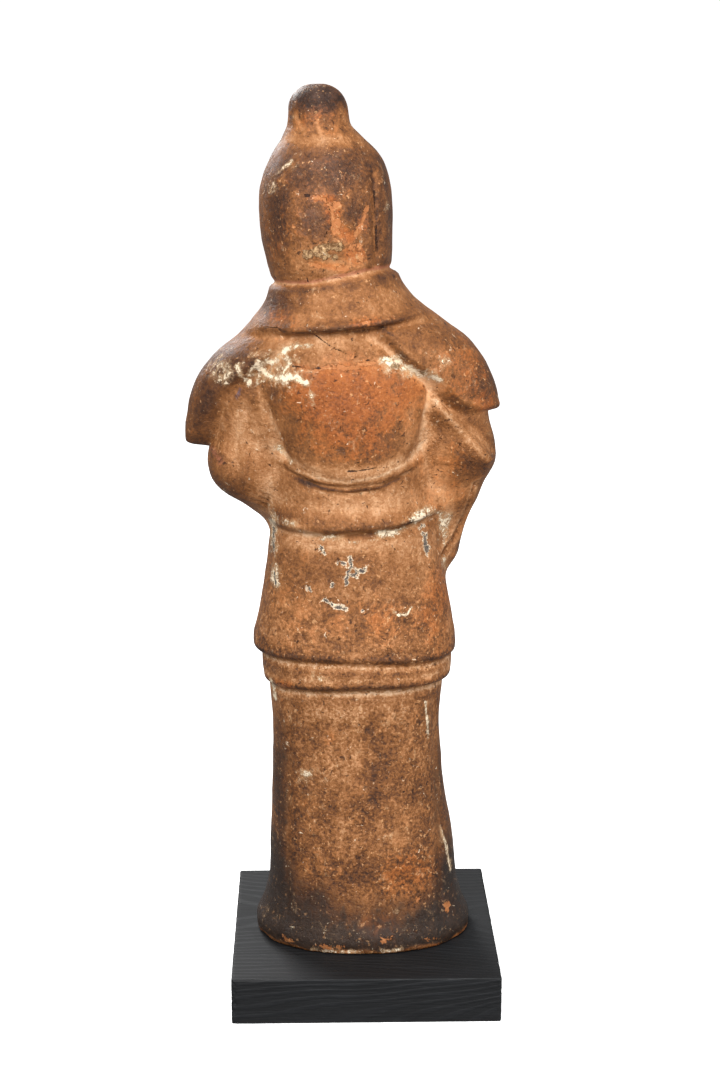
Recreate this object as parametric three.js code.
// Pottery guardian figure standing on its black painted wood plinth.
// Millimetres, +Z up. The origin is the centre of the plinth's underside. The figure faces -Y,
// so its left arm is on the +X side, and its back looks along +Y.

import * as THREE from "three";

// Driving sizes.
const figureHeight = 615; // from the plinth's top to the crown of the topknot
const plinthWidth = 192; // along X
const plinthDepth = 192; // along Y
const plinthHeight = 34; // the thickness of the board
const plinthArris = 1.2; // the small flat planed along each edge of the board

// The figure's own sizes are thousandths of its height, measured from the plinth's top.
const whole = 1000;

const clamp = (value, low, high) => Math.min(Math.max(value, low), high);

// 0 below from, 1 above to, and a soft S between them.
function fade(value, from, to) {
  const t = clamp((value - from) / (to - from), 0, 1);
  return t * t * (3 - 2 * t);
}

// A smooth curve through rows of [place, value, ...] that never overshoots them.
function curveThrough(rows, column = 1) {
  const at = rows.map((row) => row[0]);
  const value = rows.map((row) => row[column]);
  const rise = at.slice(1).map((place, i) => (value[i + 1] - value[i]) / (place - at[i]));
  const slope = value.map((_, i) => {
    const before = rise[Math.max(i - 1, 0)];
    const after = rise[Math.min(i, rise.length - 1)];
    return before * after <= 0 ? 0 : (2 * before * after) / (before + after);
  });
  return (place) => {
    if (place <= at[0]) return value[0];
    if (place >= at[at.length - 1]) return value[value.length - 1];
    const i = at.findIndex((next) => place < next) - 1;
    const gap = at[i + 1] - at[i];
    const t = (place - at[i]) / gap;
    const stay = (1 + 2 * t) * (1 - t) * (1 - t);
    return (
      value[i] * stay +
      value[i + 1] * (1 - stay) +
      gap * t * (1 - t) * (slope[i] * (1 - t) - slope[i + 1] * t)
    );
  };
}

// The join and the cut of two distances, rounded over a width of blend.
function join(a, b, blend) {
  const h = Math.max(blend - Math.abs(a - b), 0) / blend;
  return Math.min(a, b) - (h * h * blend) / 4;
}
const cut = (a, b, blend) => -join(-a, b, blend);

// The spine: the figure leans to its left above the waist, and the head comes slightly forward.
// Rows: height, x, y.
const spine = [
  [0, 1, 0],
  [120, 3, 0],
  [240, 9.5, 0],
  [440, 10.5, 0],
  [520, 11, 0],
  [600, 18, 0],
  [680, 24, 0],
  [760, 31, -2],
  [840, 42, -7],
  [915, 42, -7],
  [965, 50, -5],
  [whole, 50, -5],
];
const spineX = curveThrough(spine, 1);
const spineY = curveThrough(spine, 2);

// The bearing of a point round the spine, in degrees from -90 to 270:
// -90 and 270 are the front, 0 is the figure's left, 90 its back and 180 its right.
const front = -90;
const fullTurn = 360;
function bearing(x, y, z) {
  const degrees = THREE.MathUtils.radToDeg(Math.atan2(y - spineY(z), x - spineX(z)));
  return degrees < front ? degrees + fullTurn : degrees;
}
const cosine = (degrees) => Math.cos(THREE.MathUtils.degToRad(degrees));
const sine = (degrees) => Math.sin(THREE.MathUtils.degToRad(degrees));

// The edges that run round the figure: each gives a height for a bearing.
const level = (height) => () => height;
const bandEdge = (b) => 318 - 2 * cosine(b) + 5 * sine(b) ** 2;
const jacketEdge = (b) => 352 + 3 * cosine(b) + 4.5 * sine(b) ** 2;
const beltEdge = (b) => 512 - 6 * cosine(b) - 2 * sine(b) ** 2;
const rollEdge = (b) => 560 + 27 * cosine(b) ** 2;
const plateEdge = (b) => 575 + 32 * cosine(b) ** 2;
const collarEdge = (b) => 739.5 - 9.5 * cosine(b);
const collarTop = curveThrough([
  [front, 768],
  [-45, 775],
  [0, 783],
  [65, 788],
  [101, 796],
  [130, 801],
  [180, 798],
  [225, 784],
  [270, 768],
]);

// The mantle covers the shoulders and leaves a panel of the back and of the breast bare between
// its two halves. From each panel its edge runs down and out to a blunt point over the arm.
const bare = 790; // stands for no mantle at that bearing: its edge is above its top
const mantleEdge = curveThrough([
  [front, bare],
  [-62, bare],
  [-52, 733],
  [-38, 705],
  [-22, 668],
  [-11, 632],
  [0, 597],
  [11, 636],
  [21, 672],
  [37, 705],
  [51, 731],
  [62, bare],
  [112, bare],
  [123, 738],
  [133, 705],
  [151, 678],
  [158, 652],
  [167, 642],
  [180, 638],
  [193, 642],
  [202, 655],
  [212, 680],
  [227, 706],
  [238, 736],
  [248, bare],
  [270, bare],
]);

// A garment or the head, as one solid of oval sections stacked between two edges.
// Each station is height, centre, half width, depth behind the spine, depth before it.
// squareness is the power of the oval, and rounding the radius of its upper and lower edges.
function layer({ bottom, top, rounding, squareness = 2.2, stations }) {
  const centre = curveThrough(stations, 1);
  const half = curveThrough(stations, 2);
  const back = curveThrough(stations, 3);
  const fore = curveThrough(stations, 4);
  return (x, y, z) => {
    const dx = x - centre(z);
    const dy = y - spineY(z);
    const across = Math.abs(dx) / half(z);
    const along = Math.abs(dy) / (dy > 0 ? back(z) : fore(z));
    const oval = Math.pow(across ** squareness + along ** squareness, 1 / squareness);
    const reach = Math.hypot(dx, dy);
    const side = (oval > 0 ? reach - reach / oval : -half(z)) + rounding;
    const b = bearing(x, y, z);
    const end = Math.max(bottom(b) - z, z - top(b)) + rounding;
    const corner = Math.hypot(Math.max(side, 0), Math.max(end, 0));
    return Math.min(Math.max(side, end), 0) + corner - rounding;
  };
}

// The long skirt, down to the plinth.
const skirt = layer({
  bottom: level(0),
  top: level(360),
  rounding: 4,
  stations: [
    [0, 1, 128, 94, 95],
    [14, 1, 129, 96, 97],
    [36, 1, 120, 90, 92],
    [66, 1.5, 113.5, 85, 88],
    [122, 3, 109.5, 81, 84],
    [170, 6, 104, 77, 80],
    [215, 8, 101, 75, 78],
    [265, 9.5, 99.5, 74, 77],
    [312, 9.5, 103, 76, 79],
    [350, 9.5, 106, 79, 82],
  ],
});

// The hem of an under coat, which shows as a rolled band below the jacket.
const underCoat = layer({
  bottom: bandEdge,
  top: level(366),
  rounding: 8,
  stations: [
    [318, 8, 110, 83, 86],
    [337, 8.5, 111.5, 86, 89],
    [366, 9, 111, 84, 87],
  ],
});

// The jacket flares from the belt to its own hem.
const jacket = layer({
  bottom: jacketEdge,
  top: level(526),
  rounding: 8,
  stations: [
    [350, 11.5, 118.5, 88, 91],
    [370, 11.5, 118.5, 88, 91],
    [386, 11, 115.5, 86, 89],
    [416, 10, 110.5, 83, 87],
    [445, 10.5, 105, 80, 84],
    [474, 11, 100.5, 78, 82],
    [503, 11, 96, 75.5, 80],
    [526, 11, 92, 73, 78],
  ],
});

// The belt, slightly hollow on its face, with a thicker lower edge.
const belt = layer({
  bottom: beltEdge,
  top: level(612),
  rounding: 6,
  stations: [
    [508, 12, 95, 82, 86],
    [520, 13, 96, 84, 88],
    [538, 14, 92.5, 79, 83],
    [566, 15, 90, 78, 82],
    [612, 18, 88, 76, 80],
  ],
});

// A narrow roll of cloth between the belt and the back plate, sagging at the middle.
const roll = layer({
  bottom: rollEdge,
  top: level(606),
  rounding: 5,
  stations: [
    [560, 15, 90, 82.5, 85],
    [576, 15.5, 90, 83.5, 86],
    [606, 18, 88, 80, 82],
  ],
});

// The body of the coat, bulging over the back and the breast, with a lower edge that hangs in a curve.
const plate = layer({
  bottom: plateEdge,
  top: level(775),
  rounding: 8,
  squareness: 2.15,
  stations: [
    [575, 18, 84, 85, 86],
    [600, 18, 90, 90, 90],
    [640, 20, 99, 92.5, 93],
    [675, 23, 107, 91, 90],
    [705, 24, 109, 86, 84],
    [735, 26, 98, 78, 75],
    [775, 32, 66, 62, 56],
  ],
});

// The mantle over both shoulders.
const mantle = layer({
  bottom: mantleEdge,
  top: level(764),
  rounding: 7,
  squareness: 2.3,
  stations: [
    [598, 20, 184, 50, 50],
    [612, 20, 186, 54, 52],
    [632, 20.5, 181.5, 60, 58],
    [651, 22.5, 177, 66, 62],
    [665, 22, 173, 72, 66],
    [679, 21.5, 166.5, 77, 70],
    [693, 19.5, 157.5, 81, 73],
    [707, 17.5, 145.5, 84, 74],
    [720, 15, 131, 84, 72],
    [734, 18, 115, 81, 68],
    [744, 20, 104, 77, 64],
    [764, 26, 82, 70, 59],
  ],
});

// The broad collar, which lies higher on the figure's right.
const collar = layer({
  bottom: collarEdge,
  top: collarTop,
  rounding: 7,
  squareness: 2.3,
  stations: [
    [730, 20, 107, 91, 86],
    [741, 21, 105, 91, 86],
    [748, 22.5, 97.5, 87, 82],
    [755, 24, 91, 82, 78],
    [768, 28, 82, 77, 72],
    [782, 31, 75, 73, 67],
    [800, 38, 72, 71, 61],
  ],
});

// The head in its close cap, and the topknot.
const cap = layer({
  bottom: level(760),
  top: level(956),
  rounding: 10,
  squareness: 2.15,
  stations: [
    [760, 32, 62, 62, 50],
    [790, 37, 69, 71, 62],
    [810, 39.5, 71.5, 76, 68],
    [835, 41.5, 74.5, 80, 73],
    [860, 42.5, 75.5, 81, 75],
    [882, 43, 74.5, 79, 74],
    [900, 42.5, 71, 73, 70],
    [915, 42, 65, 65, 63],
    [928, 43, 57, 55, 54],
    [941, 45, 46, 44, 43],
    [956, 48, 34, 32, 30],
  ],
});
const topknot = layer({
  bottom: level(925),
  top: level(whole),
  rounding: 26,
  squareness: 2,
  stations: [
    [925, 46, 52, 46, 42],
    [938, 47, 44, 40, 38],
    [950, 49, 37.5, 36, 34],
    [965, 50, 34, 34, 32],
    [whole, 51.5, 31.5, 31, 30],
  ],
});

// A ball-ended limb from a to b, each [x, y, z], whose radius goes from ra to rb.
// flatness above 1 thins it from front to back.
function limb(a, b, ra, rb, flatness = 1) {
  const [ux, uy, uz] = [b[0] - a[0], (b[1] - a[1]) * flatness, b[2] - a[2]];
  const length2 = ux * ux + uy * uy + uz * uz;
  return (x, y, z) => {
    const [px, py, pz] = [x - a[0], (y - a[1]) * flatness, z - a[2]];
    const t = clamp((px * ux + py * uy + pz * uz) / length2, 0, 1);
    return Math.hypot(px - ux * t, py - uy * t, pz - uz * t) - (ra + (rb - ra) * t);
  };
}

function ellipsoid([cx, cy, cz], [rx, ry, rz]) {
  return (x, y, z) => {
    const [px, py, pz] = [(x - cx) / rx, (y - cy) / ry, (z - cz) / rz];
    const inner = Math.hypot(px, py, pz);
    const slope = Math.hypot(px / rx, py / ry, pz / rz);
    return slope > 0 ? (inner * (inner - 1)) / slope : -Math.min(rx, ry, rz);
  };
}

// A thick sheet of cloth with three corners, which is how the mouth of a wide sleeve hangs.
function sheet(corners, thickness) {
  const triangle = new THREE.Triangle(...corners.map((corner) => new THREE.Vector3(...corner)));
  const point = new THREE.Vector3();
  const nearest = new THREE.Vector3();
  return (x, y, z) => {
    triangle.closestPointToPoint(point.set(x, y, z), nearest);
    return point.distanceTo(nearest) - thickness;
  };
}

// Both arms are bent, and the forearms in their wide sleeves meet in front of the breast.
const farthest = 260; // further from the spine than any of the clay
const handCentre = [20, -116, 616];
const wristDrop = 12; // how far each wrist lies below the middle of the hands
const wristSpread = 36; // from the middle of the hands to each wrist
const wristBehind = 14; // how far the wrists lie behind the hands
const wristRadius = 27;
const tipRadius = 24; // the lowest point of the hanging sleeve
const tipFlatness = 1.25;
const mouthThickness = 14; // from the middle of the sleeve mouth's cloth to either face
const sleeveBlend = 18; // how softly the parts of a sleeve run together

function arm({ side, shoulder, shoulderRadius, elbow, elbowRadius, bag, bagRadius, tip, mouth }) {
  const [handX, handY, handZ] = handCentre;
  const wrist = [handX + side * wristSpread, handY + wristBehind, handZ - wristDrop];
  const parts = [
    limb(shoulder, elbow, shoulderRadius, elbowRadius),
    limb(elbow, wrist, elbowRadius - 4, wristRadius),
    limb(elbow, bag, elbowRadius, bagRadius),
    limb(bag, tip, bagRadius - 7, tipRadius, tipFlatness),
    sheet([bag, wrist, mouth], mouthThickness),
  ];
  return (x, y, z) => parts.reduce((all, part) => join(all, part(x, y, z), sleeveBlend), farthest);
}

const leftArm = arm({
  side: 1,
  shoulder: [124, 2, 660],
  shoulderRadius: 48,
  elbow: [134, -4, 576],
  elbowRadius: 40,
  bag: [113, -24, 554],
  bagRadius: 40.5,
  tip: [72, -60, 478],
  mouth: [62, -78, 460],
});
const rightArm = arm({
  side: -1,
  shoulder: [-93, 2, 662],
  shoulderRadius: 48,
  elbow: [-110, -2, 588],
  elbowRadius: 37,
  bag: [-97, -14, 548],
  bagRadius: 39,
  tip: [-90, -26, 469],
  mouth: [-36, -76, 458],
});

// The clay fills the hollow between the forearms and the body.
const filling = ellipsoid([18, -58, 602], [92, 48, 52]);
const fillingBlend = 16;
function arms(x, y, z) {
  const nearer = Math.min(leftArm(x, y, z), rightArm(x, y, z));
  return join(nearer, filling(x, y, z), fillingBlend);
}

// The clasped hands.
const clasp = ellipsoid(handCentre, [31, 19, 21]);

// The face sits in an oval opening of the cap, a little sunk, with a rolled rim round it.
const faceX = 42.5; // its middle line
const openingCentre = 838;
const openingHalfWidth = 50;
const openingHalfHeight = 62;
const openingSink = 5;
const rimRise = 3;
const rimWidth = 6;
const eyeHeight = 855;
const noseTip = 832;
const mouthHeight = 808;
const chinHeight = 787;
const eyeSpread = 21;

const cheeks = ellipsoid([faceX, -30, 826], [50, 53, 62]);
const chin = ellipsoid([faceX, -70, chinHeight], [18, 13, 13]);
const nose = [
  limb([faceX, -78, 866], [faceX, -88, noseTip + 3], 4.5, 7.5),
  limb([faceX - 6, -84, noseTip], [faceX + 6, -84, noseTip], 6, 6),
];
const lips = [
  limb([faceX - 11, -79, mouthHeight + 4], [faceX + 11, -79, mouthHeight + 4], 4.5, 4.5),
  limb([faceX - 8, -79, mouthHeight - 5], [faceX + 8, -79, mouthHeight - 5], 5, 5),
];
const eyes = [-1, 1].map((side) => ({
  socket: ellipsoid([faceX + side * eyeSpread, -88, eyeHeight], [16, 13, 11]),
  lid: ellipsoid([faceX + side * eyeSpread, -67, eyeHeight - 1], [13, 11, 8]),
}));

// 1 well before the spine, and 0 at the sides and the back.
const frontOnly = (y) => fade(-y, 20, 50);

function head(x, y, z) {
  const across = (x - faceX) / openingHalfWidth;
  const up = (z - openingCentre) / openingHalfHeight;
  const toRim = (Math.hypot(across, up) - 1) * openingHalfWidth;
  const forward = frontOnly(y);
  const sink = openingSink * fade(-toRim, 0, 12) * forward;
  const rim = rimRise * Math.exp(-((toRim / rimWidth) ** 2)) * forward;
  let solid = cap(x, y, z) + sink - rim;
  solid = join(solid, cheeks(x, y, z), 8);
  solid = join(solid, chin(x, y, z), 10);
  for (const eye of eyes) {
    solid = cut(solid, eye.socket(x, y, z), 6);
    solid = join(solid, eye.lid(x, y, z), 2);
  }
  for (const part of nose) solid = join(solid, part(x, y, z), 5);
  for (const part of lips) solid = join(solid, part(x, y, z), 4);
  return solid;
}

// Two blunt shoe toes under the front hem.
const toeSpread = 31;
const shoes = [-1, 1].map((side) => ellipsoid([1 + side * toeSpread, -90, 8], [24, 33, 19]));

// What is carved into the clay or raised on it, as a height over the plain forms.
// A stroke runs between two points [x, height] of the back, and its section is a soft bell.
function stroke([ax, az], [bx, bz], width, rise) {
  const [ux, uz] = [bx - ax, bz - az];
  const length2 = ux * ux + uz * uz;
  return (x, y, z) => {
    const t = clamp(((x - ax) * ux + (z - az) * uz) / length2, 0, 1);
    const off = Math.hypot(x - ax - ux * t, z - az - uz * t) / width;
    return rise * Math.exp(-off * off) * fade(y, 0, 12);
  };
}
const strokes = [
  stroke([-84, 640], [-139, 578], 9, 4), // the ridge from the armpit to the right elbow
  stroke([-90, 606], [-124, 556], 13, -3), // the hollow under it
  stroke([132, 640], [158, 556], 12, -3), // the soft valley down the left sleeve
  stroke([-9, 905], [-12, 808], 3, -2.5), // the joint behind the right side of the head
  stroke([87, 300], [92, 40], 4, -2), // the two joints down the sides of the skirt
  stroke([-80, 300], [-92, 40], 4, -2),
];

// The groove where the head meets the collar.
function neckGroove(x, y, z) {
  const off = (z - collarTop(bearing(x, y, z))) / 4;
  return -2.2 * Math.exp(-off * off);
}

// The skirt's front: one overlapping edge and shallow folds, all fading out towards the sides.
const overlapX = 4;
const foldWidth = 21;
function skirtFolds(x, y, z) {
  if (y > 0 || z > 330) return 0;
  const low = 1 - fade(z, 290, 318);
  const middle = 1 - fade(Math.abs(x - spineX(z)), 62, 96);
  const folds = 2 * Math.cos(((x - overlapX) / foldWidth) * Math.PI) * (1 - fade(z, 60, 330));
  const overlap = 3 * fade(x, overlapX - 2.5, overlapX + 2.5);
  return low * middle * (folds + overlap);
}

// Folds that fan out over the front of both sleeves from the elbows.
function sleeveFolds(x, y, z) {
  const out = Math.abs(x - handCentre[0]);
  const fan = Math.sin((out * 0.55 + (600 - z) * 0.75) / 7.5);
  return 2.2 * fan * fade(out, 38, 60) * fade(600 - z, 0, 30) * fade(z, 440, 460) * frontOnly(y);
}

const relief = (x, y, z) =>
  strokes.reduce((sum, carve) => sum + carve(x, y, z), 0) +
  neckGroove(x, y, z) +
  skirtFolds(x, y, z) +
  sleeveFolds(x, y, z);

// Every form in the order it is added to the skirt, with the width over which it runs into the rest.
const forms = [
  [underCoat, 4],
  [jacket, 3],
  [belt, 4],
  [roll, 3],
  [plate, 4],
  [arms, 28],
  [mantle, 6],
  [collar, 4],
  [clasp, 16],
  [head, 3],
  [topknot, 7],
  ...shoes.map((shoe) => [shoe, 4]),
];

// How far a point lies outside the clay: negative inside it.
function outside(x, y, z) {
  const joined = (all, [form, blend]) => join(all, form(x, y, z), blend);
  return forms.reduce(joined, skirt(x, y, z)) - relief(x, y, z);
}

// How far out along a ray the clay ends: steps inwards from outside, then halves the last step.
const inwardStep = 4;
const halvings = 12;
function reachAlong([ox, oy, oz], [dx, dy, dz]) {
  const at = (r) => outside(ox + dx * r, oy + dy * r, oz + dz * r);
  let r = farthest;
  while (r > inwardStep && at(r) > 0) r -= inwardStep;
  let [inner, outer] = [r, r + inwardStep];
  for (let i = 0; i < halvings; i += 1) {
    const middle = (inner + outer) / 2;
    if (at(middle) > 0) outer = middle;
    else inner = middle;
  }
  return (inner + outer) / 2;
}

// The clay is faceted by columns round the figure and rows up it.
const columns = 54;
const frontCrowding = 0.35; // draws the columns closer together on the face and hands

// The rows follow the edges: each stretch climbs to the next edge in its number of rows.
const plus = (edge, more) => (b) => edge(b) + more;
const waistEdge = (b) => Math.min(rollEdge(b), 573);
const bodyEdge = curveThrough([
  [front, 575],
  [-45, 588],
  [-15, 582],
  [0, 580],
  [15, 586],
  [35, 597],
  [60, 583],
  [90, 575],
  [120, 583],
  [146, 598],
  [180, 604],
  [225, 588],
  [270, 575],
]);
const shoulderEdge = (b) => Math.min(mantleEdge(b), 716);
const stretches = [
  [level(14), 3],
  [level(55), 3],
  [level(298), 4],
  [plus(bandEdge, -1), 1],
  [plus(bandEdge, 9), 3],
  [plus(jacketEdge, -1), 3],
  [plus(jacketEdge, 10), 3],
  [plus(beltEdge, -1), 8],
  [plus(beltEdge, 12), 3],
  [plus(waistEdge, -1), 3],
  [bodyEdge, 3],
  [plus(shoulderEdge, -1), 11],
  [plus(shoulderEdge, 6), 2],
  [plus(collarEdge, -1), 5],
  [plus(collarEdge, 8), 2],
  [plus(collarTop, -4), 3],
  [plus(collarTop, 4), 2],
  [level(900), 17],
  [level(940), 5],
  [level(972), 3],
];
const crownRows = 4; // above the last row the rays fan up from one point, to close the crown

// The bearing of a column: column 0 looks to the front, and the columns crowd together there.
function columnBearing(column) {
  const part = column / columns;
  const crowding = THREE.MathUtils.radToDeg(frontCrowding * Math.sin(2 * Math.PI * part));
  return front + fullTurn * part - crowding;
}

// Every row, as a function of the bearing that gives its height.
function rowEdges() {
  const rows = [level(0)];
  for (const [edge, count] of stretches) {
    const last = rows[rows.length - 1];
    for (let i = 1; i <= count; i += 1)
      rows.push((b) => last(b) + ((edge(b) - last(b)) * i) / count);
  }
  return rows;
}

// The clay has no undercuts: where a point stands more than a ledge in behind a neighbour, it is
// filled out to a steep slope, and what was filled is smoothed.
const ledge = 8;
const steepness = 2.2;
const fillPasses = 4;
const smoothPasses = 3;
function fillUndercuts(grid) {
  const near = (r, c) => [
    grid[Math.max(r - 1, 0)][c],
    grid[Math.min(r + 1, grid.length - 1)][c],
    grid[r][(c + 1) % columns],
    grid[r][(c + columns - 1) % columns],
  ];
  const each = (rule) => {
    const reaches = grid.map((ring, r) => ring.map((point, c) => rule(point, near(r, c))));
    reaches.forEach((ring, r) => ring.forEach((reach, c) => (grid[r][c].reach = reach)));
  };
  const slopeTo = (point, other) => {
    const turn = THREE.MathUtils.degToRad(Math.abs(point.bearing - other.bearing));
    const along = Math.min(turn, 2 * Math.PI - turn) * other.reach;
    return other.reach - ledge - steepness * Math.hypot(along, point.origin[2] - other.origin[2]);
  };
  for (const point of grid.flat()) point.unfilled = point.reach;
  for (let pass = 0; pass < fillPasses; pass += 1)
    each((point, others) => Math.max(point.reach, ...others.map((other) => slopeTo(point, other))));
  for (let pass = 0; pass < smoothPasses; pass += 1)
    each((point, others) => {
      if (point.reach === point.unfilled) return point.reach;
      const mean = others.reduce((sum, other) => sum + other.reach, 0) / others.length;
      return Math.max((point.reach + mean) / 2, point.unfilled);
    });
}

function figureGeometry() {
  const unit = figureHeight / whole;
  const ray = (origin, bearing, lift) => {
    const out = cosine(lift);
    const direction = [cosine(bearing) * out, sine(bearing) * out, sine(lift)];
    return { origin, bearing, direction, reach: reachAlong(origin, direction) };
  };
  const around = (edge, lift) =>
    Array.from({ length: columns }, (_, c) => {
      const z = edge(columnBearing(c));
      return ray([spineX(z), spineY(z), z], columnBearing(c), lift);
    });
  const edges = rowEdges();
  const rings = edges.map((edge) => around(edge, 0));
  fillUndercuts(rings);
  const crown = edges[edges.length - 1];
  for (let i = 1; i < crownRows; i += 1) rings.push(around(crown, (90 * i) / crownRows));
  const top = crown(front);
  const peak = ray([spineX(top), spineY(top), top], 0, 90);
  const points = [...rings.flat(), peak].flatMap(({ origin, direction, reach }) =>
    origin.map((value, axis) => (value + direction[axis] * reach) * unit),
  );
  const pole = points.length / 3 - 1;
  const foot = pole + 1;
  points.push(spineX(0) * unit, spineY(0) * unit, 0);

  // Each four-sided facet is split along its shorter diagonal.
  const place = (i) => new THREE.Vector3().fromArray(points, 3 * i);
  const apart = (i, j) => place(i).distanceTo(place(j));
  const faces = [];
  for (let r = 0; r + 1 < rings.length; r += 1)
    for (let c = 0; c < columns; c += 1) {
      const [a, b] = [r * columns + c, r * columns + ((c + 1) % columns)];
      const [d, e] = [a + columns, b + columns];
      if (apart(a, e) < apart(b, d)) faces.push(a, b, e, a, e, d);
      else faces.push(a, b, d, b, e, d);
    }
  const last = (rings.length - 1) * columns;
  for (let c = 0; c < columns; c += 1) {
    const next = (c + 1) % columns;
    faces.push(foot, next, c);
    faces.push(pole, last + c, last + next);
  }
  return new THREE.BufferGeometry()
    .setAttribute("position", new THREE.Float32BufferAttribute(points, 3))
    .setIndex(faces);
}

// A planed board with a small flat along each edge.
function plinthGeometry() {
  const [halfWidth, halfDepth] = [plinthWidth / 2 - plinthArris, plinthDepth / 2 - plinthArris];
  const outline = new THREE.Shape([
    new THREE.Vector2(-halfWidth, -halfDepth),
    new THREE.Vector2(halfWidth, -halfDepth),
    new THREE.Vector2(halfWidth, halfDepth),
    new THREE.Vector2(-halfWidth, halfDepth),
  ]);
  return new THREE.ExtrudeGeometry(outline, {
    depth: plinthHeight - 2 * plinthArris,
    bevelEnabled: true,
    bevelThickness: plinthArris,
    bevelSize: plinthArris,
    bevelSegments: 1,
  }).translate(0, 0, plinthArris);
}

const firedClay = new THREE.MeshStandardMaterial({ color: 0x8f5a32, roughness: 0.62, metalness: 0 });
const paintedWood = new THREE.MeshStandardMaterial({ color: 0x1b1c1e, roughness: 0.7, metalness: 0 });

const figure = new THREE.Mesh(figureGeometry(), firedClay);
figure.name = "pottery_figure";
figure.position.z = plinthHeight;

const plinth = new THREE.Mesh(plinthGeometry(), paintedWood);
plinth.name = "wood_plinth";

const group = new THREE.Group();
group.add(plinth, figure);

export default group;
